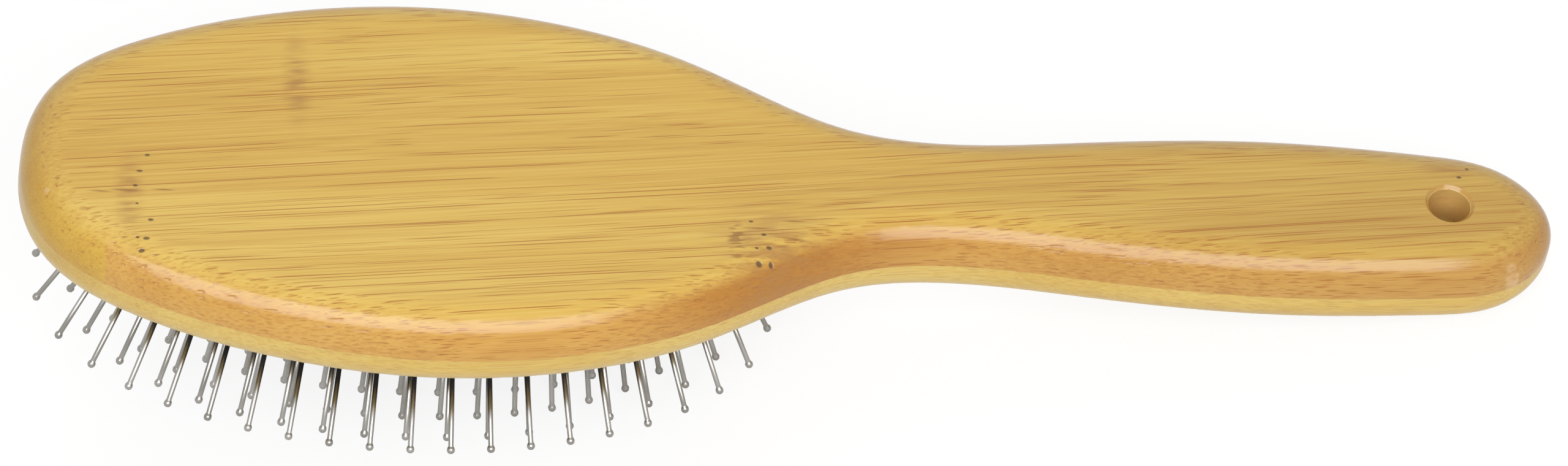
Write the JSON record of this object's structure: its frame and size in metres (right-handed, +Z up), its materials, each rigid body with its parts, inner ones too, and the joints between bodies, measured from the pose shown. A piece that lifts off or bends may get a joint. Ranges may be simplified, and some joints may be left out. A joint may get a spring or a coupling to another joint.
{
  "type": "pin brush",
  "caption": "Oval bamboo pin brush for grooming pets: two glued plies with a rounded edge, a domed rubber cushion, ball-tipped steel pins and a hanging hole in the handle.",
  "frame": {"origin": "on the floor, under the middle of the brush's bounding box as it rests on its pins and the end of its handle", "axes": "+X from the head towards the handle's end, +Z up from the pins towards the back, and Y across the brush, which is symmetric about the plane Y = 0"},
  "size_m": [0.232, 0.068, 0.0543],
  "materials": {
    "bamboo_back": "oiled bamboo, golden tan with darker streaks, soft gloss",
    "bamboo_face": "oiled bamboo, pale yellow, satin",
    "rubber": "matt moulded rubber",
    "pin_steel": "polished stainless steel"
  },
  "bodies": {
    "root": {"back_ply": "bamboo_back", "face_ply": "bamboo_face", "cushion": "rubber", "pin_row_01": "pin_steel", "pin_row_02": "pin_steel", "pin_row_03": "pin_steel", "pin_row_04": "pin_steel", "pin_row_05": "pin_steel", "pin_row_06": "pin_steel", "pin_row_07": "pin_steel", "pin_row_08": "pin_steel", "pin_row_09": "pin_steel", "pin_row_10": "pin_steel", "pin_row_11": "pin_steel", "pin_row_12": "pin_steel", "pin_row_13": "pin_steel", "pin_row_14": "pin_steel", "pin_row_15": "pin_steel", "pin_row_16": "pin_steel", "pin_row_17": "pin_steel", "pin_row_18": "pin_steel", "pin_row_19": "pin_steel", "pin_row_20": "pin_steel", "pin_row_21": "pin_steel"}
  },
  "joints": []
}
